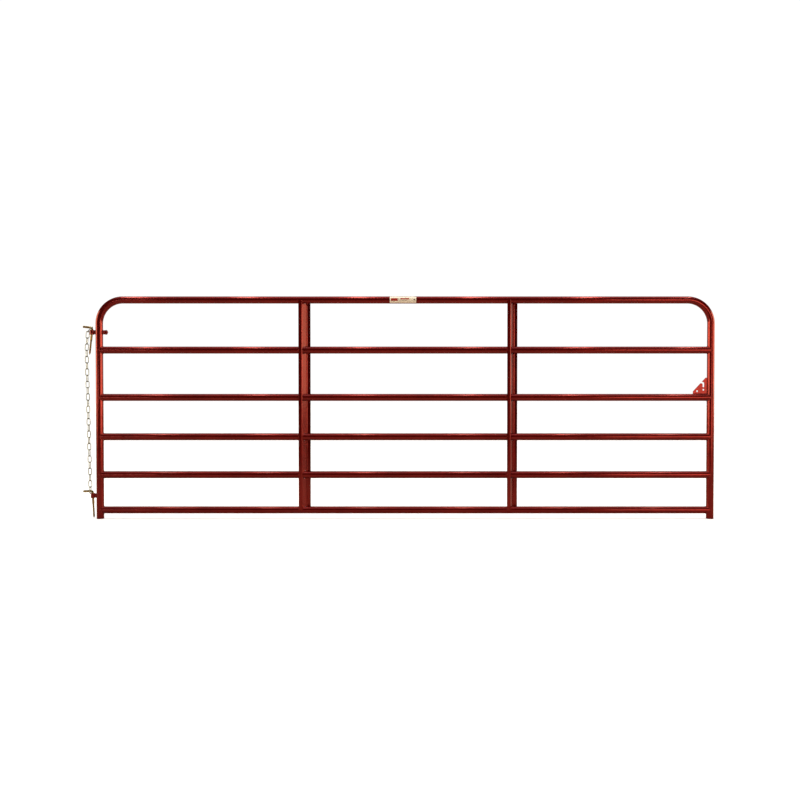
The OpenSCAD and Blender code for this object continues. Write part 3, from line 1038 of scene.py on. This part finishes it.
def buildFloor():
    h, front = studio["floor"] / 2, studio["frontEdge"]
    mesh = bpy.data.meshes.new("studioFloor")
    mesh.from_pydata([(-h, front, 0), (h, front, 0), (h, h, 0), (-h, h, 0)], [], [(0, 1, 2, 3)])
    floor = bpy.data.objects.new("studioFloor", mesh)
    scene.collection.objects.link(floor)
    material, shader = newMaterial("floorSheet")
    shader.inputs["Base Color"].default_value = (*studio["floorColour"], 1)
    shader.inputs["Roughness"].default_value = 0.9
    shader.inputs["Specular IOR Level"].default_value = 0.0
    shader.inputs["Emission Color"].default_value = (1, 1, 1, 1)
    shader.inputs["Emission Strength"].default_value = studio["floorGlow"]
    # the gate sees a darker floor than the camera does, so its paint stays deep
    tree = material.node_tree
    seen = tree.nodes.new("ShaderNodeLightPath")
    darker = tree.nodes.new("ShaderNodeBsdfDiffuse")
    darker.inputs["Color"].default_value = (*studio["floorInPaint"], 1)
    pick = tree.nodes.new("ShaderNodeMixShader")
    tree.links.new(seen.outputs["Is Camera Ray"], pick.inputs["Fac"])
    tree.links.new(darker.outputs["BSDF"], pick.inputs[1])
    tree.links.new(shader.outputs["BSDF"], pick.inputs[2])
    tree.links.new(pick.outputs[0], tree.nodes["Material Output"].inputs["Surface"])
    mesh.materials.append(material)


air = {
    "front": 0.03, "back": 0.90, "backEdge": (0.45, 0.75),
    "side": 6.4, "sideEdge": (0.72, 0.97), "sideLevel": 0.40,
    "behind": (0.15, 0.45), "behindCut": 0.72,
    "top": 1.3, "topEdge": (0.68, 0.99), "backdrop": 1.05,
    "white": (1.0, 0.99, 0.97), "amber": (1.0, 0.82, 0.50),
}


def buildWorld():
    # tall amber panels at both sides, a broad pale one overhead, dim air in front, and a white backdrop
    world = bpy.data.worlds.new("studioAir")
    world.use_nodes = True
    scene.world = world
    tree = world.node_tree
    tree.nodes.clear()
    out = tree.nodes.new("ShaderNodeOutputWorld")
    coords = tree.nodes.new("ShaderNodeTexCoord")
    axes = tree.nodes.new("ShaderNodeSeparateXYZ")
    tree.links.new(coords.outputs["Generated"], axes.inputs[0])

    def joinTwo(kind, first, second):
        made = tree.nodes.new("ShaderNodeMath")
        made.operation = kind
        for socket, value in zip(made.inputs, (first, second)):
            if isinstance(value, float):
                socket.default_value = value
            else:
                tree.links.new(value, socket)
        return made.outputs[0]

    def rising(value, edge, top):
        made = tree.nodes.new("ShaderNodeMapRange")
        made.interpolation_type = "SMOOTHSTEP"
        tree.links.new(value, made.inputs["Value"])
        for key, number in (("From Min", edge[0]), ("From Max", edge[1]), ("To Min", 0.0), ("To Max", top)):
            made.inputs[key].default_value = number
        return made.outputs["Result"]

    def glow(colour, strength):
        made = tree.nodes.new("ShaderNodeBackground")
        made.inputs["Color"].default_value = (*colour, 1)
        if isinstance(strength, float):
            made.inputs["Strength"].default_value = strength
        else:
            tree.links.new(strength, made.inputs["Strength"])
        return made.outputs[0]

    v = air
    across = joinTwo("ABSOLUTE", axes.outputs["X"], 0.0)
    level = joinTwo("ABSOLUTE", axes.outputs["Z"], 0.0)
    nearLevel = rising(joinTwo("SUBTRACT", 1.0, level), (1 - v["sideLevel"], 1.06 - v["sideLevel"]), 1.0)
    sides = joinTwo("MULTIPLY", rising(across, v["sideEdge"], v["side"]), nearLevel)
    kept = joinTwo("SUBTRACT", 1.0, rising(axes.outputs["Y"], v["behind"], v["behindCut"]))
    sides = joinTwo("MULTIPLY", sides, kept)
    rest = joinTwo("MAXIMUM", rising(axes.outputs["Y"], v["backEdge"], v["back"]),
                   rising(axes.outputs["Z"], v["topEdge"], v["top"]))
    rest = joinTwo("MAXIMUM", rest, v["front"])
    lit = tree.nodes.new("ShaderNodeAddShader")
    tree.links.new(glow(v["amber"], sides), lit.inputs[0])
    tree.links.new(glow(v["white"], rest), lit.inputs[1])
    seen = tree.nodes.new("ShaderNodeLightPath")
    pick = tree.nodes.new("ShaderNodeMixShader")
    tree.links.new(seen.outputs["Is Camera Ray"], pick.inputs["Fac"])
    tree.links.new(lit.outputs[0], pick.inputs[1])
    tree.links.new(glow((1, 1, 1), v["backdrop"]), pick.inputs[2])
    tree.links.new(pick.outputs[0], out.inputs["Surface"])


lamps = {
    "ceiling": {"first": -2.35, "gap": 1.0, "count": 6, "y": -0.3, "z": 3.6,
                "size": (0.14, 2.2), "glow": 11.0, "colour": (1.0, 0.90, 0.72)},
    "frontRight": {"at": (3.25, -4.5, 0.85),
                   "size": (1.7, 1.7), "glow": 4.6, "colour": (1.0, 0.62, 0.42)},
    "frontLeft": {"at": (-3.25, -4.5, 0.80),
                  "size": (0.8, 0.45), "glow": 6.0, "colour": (1.0, 0.92, 0.75)},
}


def addLamp(name, at, aim, size, glow, colour):
    data = bpy.data.lights.new(name, "AREA")
    data.shape = "RECTANGLE"
    data.size, data.size_y = size
    data.energy = glow * math.pi * size[0] * size[1]
    data.color = colour
    lamp = bpy.data.objects.new(name, data)
    scene.collection.objects.link(lamp)
    lamp.location = at
    lamp.rotation_euler = (Vector(aim) - Vector(at)).to_track_quat("-Z", "Y").to_euler()
    lamp.visible_camera = False


def buildLights():
    v = lamps["ceiling"]
    for i in range(v["count"]):
        x = v["first"] + i * v["gap"]
        at, aim = (x, v["y"], v["z"]), (x, v["y"], 0.0)
        addLamp(f"ceilingLamp{i + 1}", at, aim, v["size"], v["glow"], v["colour"])
    for name in ("frontRight", "frontLeft"):
        v = lamps[name]
        addLamp(name, v["at"], (v["at"][0], 0.0, v["at"][2]), v["size"], v["glow"], v["colour"])


viewFrom = {"distance": 4.36, "height": 0.75, "lens": 34.35, "aimAcross": -0.029, "aimUp": 0.679}


def buildCamera():
    v = viewFrom
    data = bpy.data.cameras.new("studioCamera")
    data.lens = v["lens"]
    data.sensor_width = 36.0
    data.clip_end = 200.0
    camera = bpy.data.objects.new("studioCamera", data)
    scene.collection.objects.link(camera)
    camera.location = (gateMiddle + v["aimAcross"], -v["distance"], v["height"])
    aim = Vector((gateMiddle + v["aimAcross"], 0, v["aimUp"]))
    camera.rotation_euler = (aim - camera.location).to_track_quat("-Z", "Y").to_euler()
    scene.camera = camera


buildFloor()
buildWorld()
buildLights()
buildCamera()
print("studio ready")
